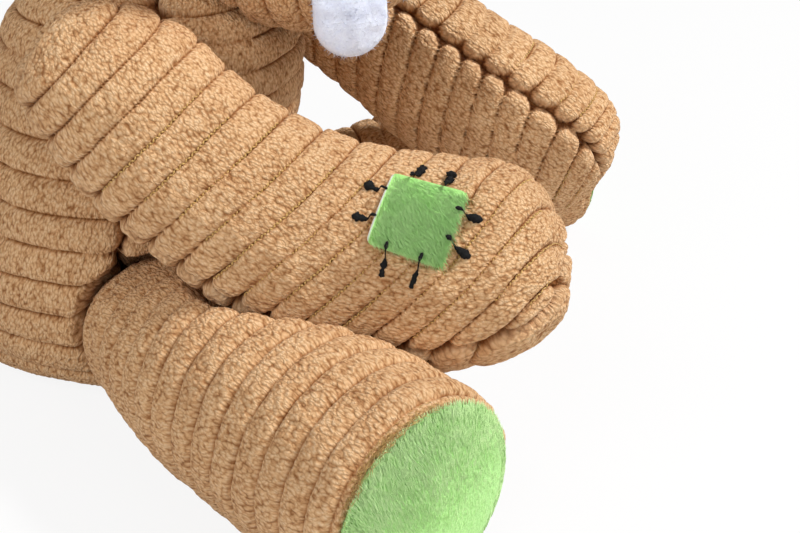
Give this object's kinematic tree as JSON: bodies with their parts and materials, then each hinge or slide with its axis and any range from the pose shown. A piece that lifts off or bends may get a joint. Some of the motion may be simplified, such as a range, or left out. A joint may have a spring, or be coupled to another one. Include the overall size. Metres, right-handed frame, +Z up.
{
  "type": "plush dog toy",
  "caption": "Seated stuffed creature for a dog, in wide corduroy, with swinging arms, spreading legs, a nodding head, felt teeth, fur soles, a sewn arm patch and a belly squeaker",
  "frame": {"origin": "middle of the flat seat under the torso, on the surface the toy sits on", "axes": "+Z up, the toy looks along -Y, its right side is -X"},
  "size_m": [0.2769, 0.2119, 0.236],
  "materials": {
    "corduroy": "wide-wale chenille corduroy, soft and matt",
    "filling": "loose polyester fibre",
    "fur": "short-pile plush with a directional sheen",
    "felt": "fuzzy felt",
    "thread": "satin embroidery thread",
    "eye": "raised satin stitching",
    "nose": "short black plush",
    "vinyl": "soft moulded vinyl",
    "reed": "thin moulded reed"
  },
  "bodies": {
    "torso": {"torso_skin": "corduroy", "torso_filling": "filling", "squeaker_bulb": "vinyl", "squeaker_plug": "vinyl", "squeaker_reed": "reed"},
    "head": {"head_skin": "corduroy", "head_filling": "filling", "right_eye": "eye", "left_eye": "eye", "nose": "nose", "right_ear": "corduroy", "right_ear_lining": "fur", "left_ear": "corduroy", "left_ear_lining": "fur"},
    "right_tooth_flap": {"right_tooth": "felt"},
    "left_tooth_flap": {"left_tooth": "felt"},
    "right_arm": {"right_arm_skin": "corduroy", "right_arm_filling": "filling", "arm_patch": "fur", "patch_stitch_1": "thread", "patch_stitch_2": "thread", "patch_stitch_3": "thread", "patch_stitch_4": "thread", "patch_stitch_5": "thread", "patch_stitch_6": "thread", "patch_stitch_7": "thread", "patch_stitch_8": "thread"},
    "left_arm": {"left_arm_skin": "corduroy", "left_arm_filling": "filling"},
    "right_leg": {"right_leg_skin": "corduroy", "right_leg_filling": "filling", "right_sole": "fur"},
    "left_leg": {"left_leg_skin": "corduroy", "left_leg_filling": "filling", "left_sole": "fur"}
  },
  "joints": [
    {"name": "right_shoulder", "type": "hinge", "parent": "torso", "child": "right_arm", "pos_m": [-0.056, -0.028, 0.119], "axis": [0.9511, 0, 0.309], "range_deg": [-40, 0]},
    {"name": "left_shoulder", "type": "hinge", "parent": "torso", "child": "left_arm", "pos_m": [0.056, -0.028, 0.126], "axis": [0.9511, 0, -0.309], "range_deg": [-40, 0]},
    {"name": "right_hip", "type": "hinge", "parent": "torso", "child": "right_leg", "pos_m": [-0.0555, -0.039, 0.029], "axis": [0, 0, -1], "range_deg": [0, 28]},
    {"name": "left_hip", "type": "hinge", "parent": "torso", "child": "left_leg", "pos_m": [0.0555, -0.039, 0.021], "axis": [0, 0, 1], "range_deg": [0, 28]},
    {"name": "neck_nod", "type": "hinge", "parent": "torso", "child": "head", "pos_m": [0, -0.016, 0.1], "axis": [1, 0, 0], "range_deg": [-20, 4]},
    {"name": "right_tooth_lift", "type": "hinge", "parent": "head", "child": "right_tooth_flap", "pos_m": [-0.024, -0.089, 0.139], "axis": [-0.5, 0.866, 0], "range_deg": [0, 30]},
    {"name": "left_tooth_lift", "type": "hinge", "parent": "head", "child": "left_tooth_flap", "pos_m": [0.024, -0.089, 0.139], "axis": [-0.5, -0.866, 0], "range_deg": [0, 30]}
  ]
}
